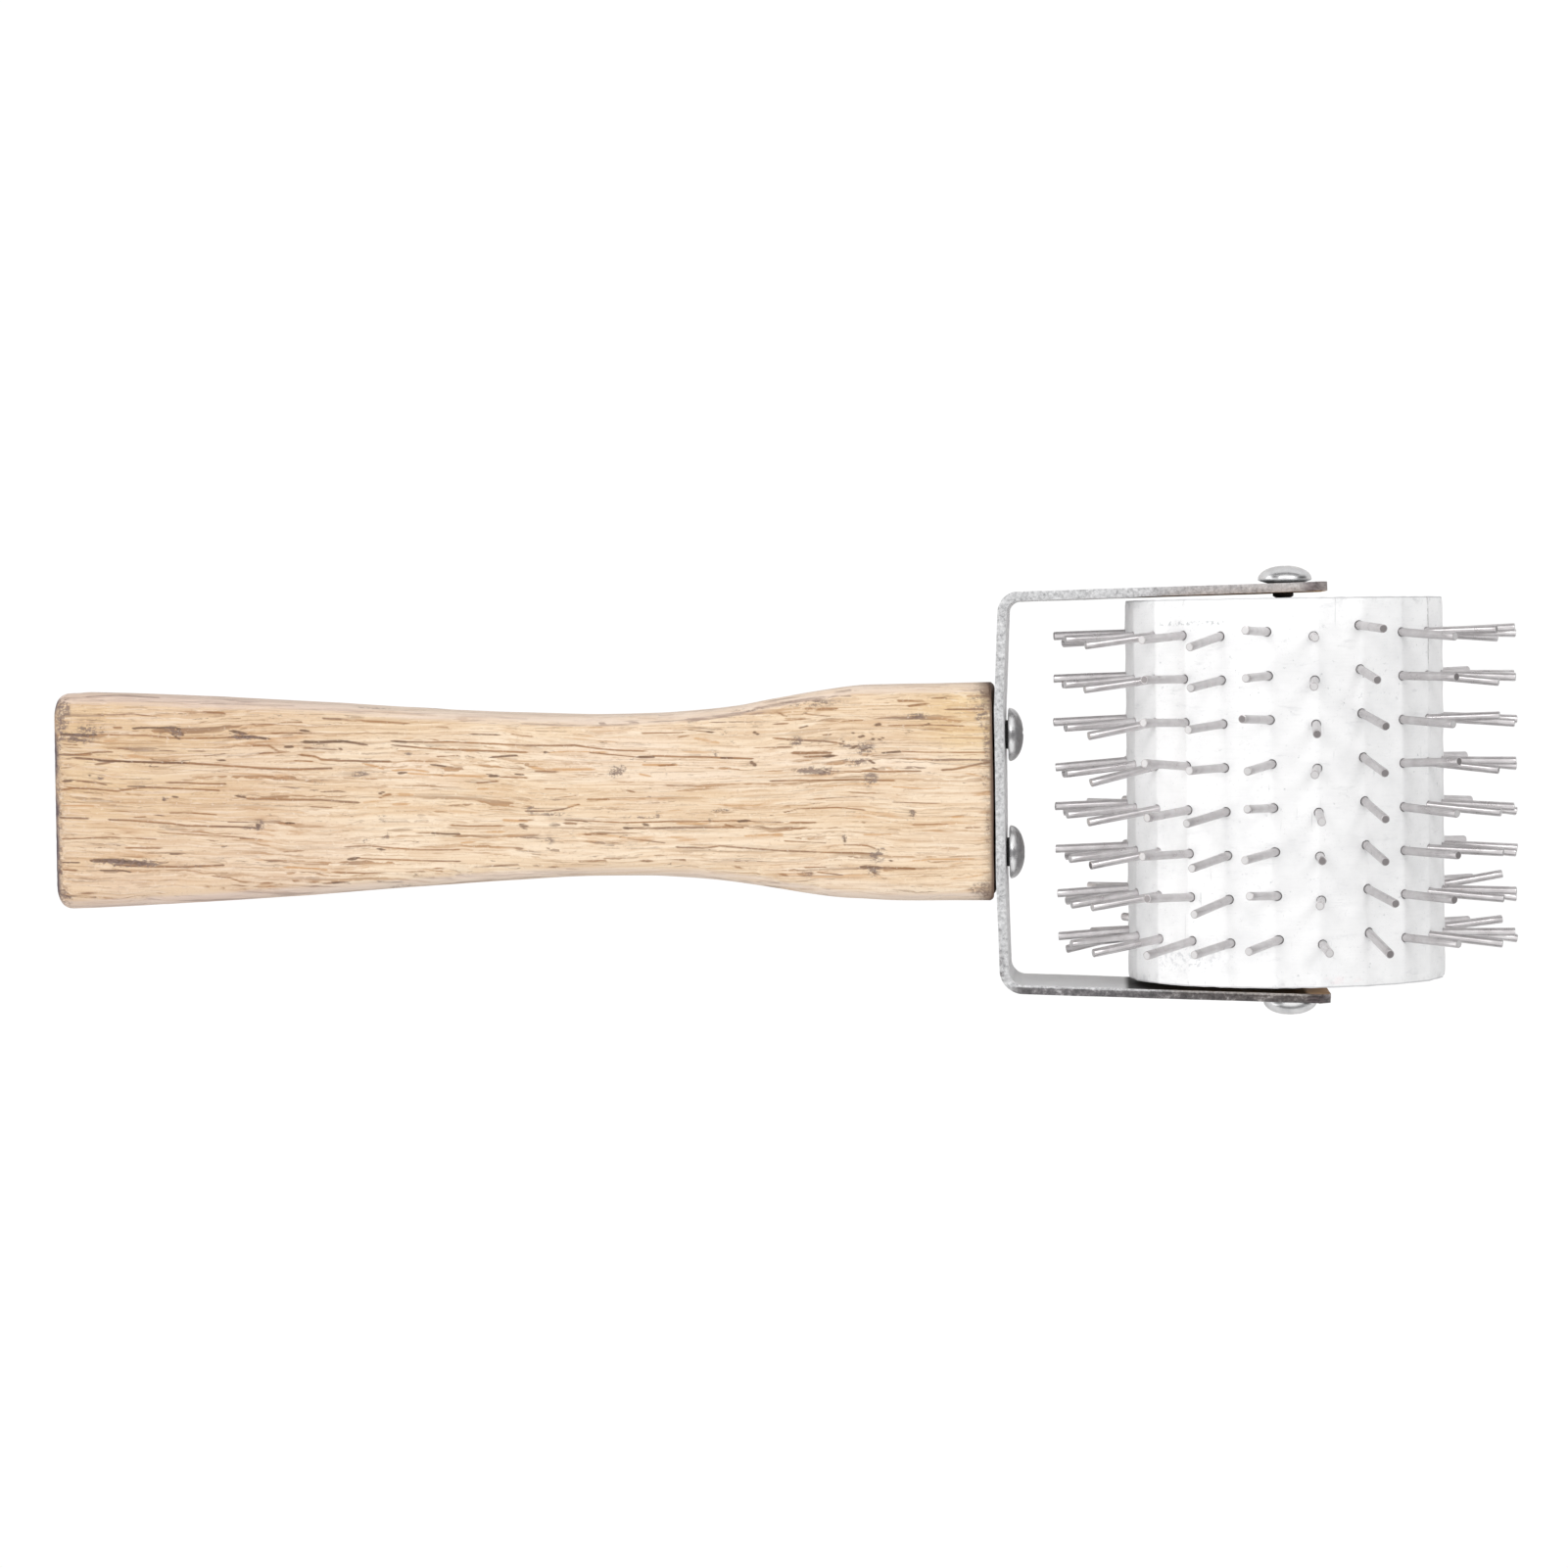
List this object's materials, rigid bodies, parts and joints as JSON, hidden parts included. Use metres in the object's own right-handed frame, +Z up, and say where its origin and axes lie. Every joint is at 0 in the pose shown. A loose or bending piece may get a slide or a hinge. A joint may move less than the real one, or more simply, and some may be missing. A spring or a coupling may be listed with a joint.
{
  "type": "needle roller",
  "caption": "Hand tool for opening wax cappings on honeycomb: a waisted wooden handle, a bent metal yoke and a sheet-clad drum set with wire needles that spins in it.",
  "frame": {"origin": "centre of the handle's butt face", "axes": "+X along the handle to the roller, +Y along the roller's axis, +Z up out of the handle's broad face"},
  "size_m": [0.247, 0.0753, 0.0771],
  "materials": {
    "handle_wood": "raw, open pored",
    "core_wood": "raw",
    "galvanised_strip": "galvanised, mottled",
    "aluminium_sheet": "matt, scuffed",
    "needle_wire": "drawn wire, cut ends",
    "zinc_screw": "bright zinc"
  },
  "bodies": {
    "handle_frame": {"handle": "handle_wood", "yoke": "galvanised_strip", "handle_screw_1": "zinc_screw", "handle_screw_2": "zinc_screw"},
    "roller": {"drum_core": "core_wood", "drum_skin": "aluminium_sheet", "axle_screw_1": "zinc_screw", "axle_screw_2": "zinc_screw", "needle_row_01": "needle_wire", "needle_row_02": "needle_wire", "needle_row_03": "needle_wire", "needle_row_04": "needle_wire", "needle_row_05": "needle_wire", "needle_row_06": "needle_wire", "needle_row_07": "needle_wire", "needle_row_08": "needle_wire", "needle_row_09": "needle_wire", "needle_row_10": "needle_wire", "needle_row_11": "needle_wire", "needle_row_12": "needle_wire", "needle_row_13": "needle_wire", "needle_row_14": "needle_wire", "needle_row_15": "needle_wire", "needle_row_16": "needle_wire", "needle_row_17": "needle_wire", "needle_row_18": "needle_wire", "needle_row_19": "needle_wire", "needle_row_20": "needle_wire", "needle_row_21": "needle_wire", "needle_row_22": "needle_wire"}
  },
  "joints": [
    {"name": "roller_spin", "type": "hinge", "parent": "handle_frame", "child": "roller", "pos_m": [0.2082, 0, 0], "axis": [0, 1, 0], "continuous": true}
  ]
}
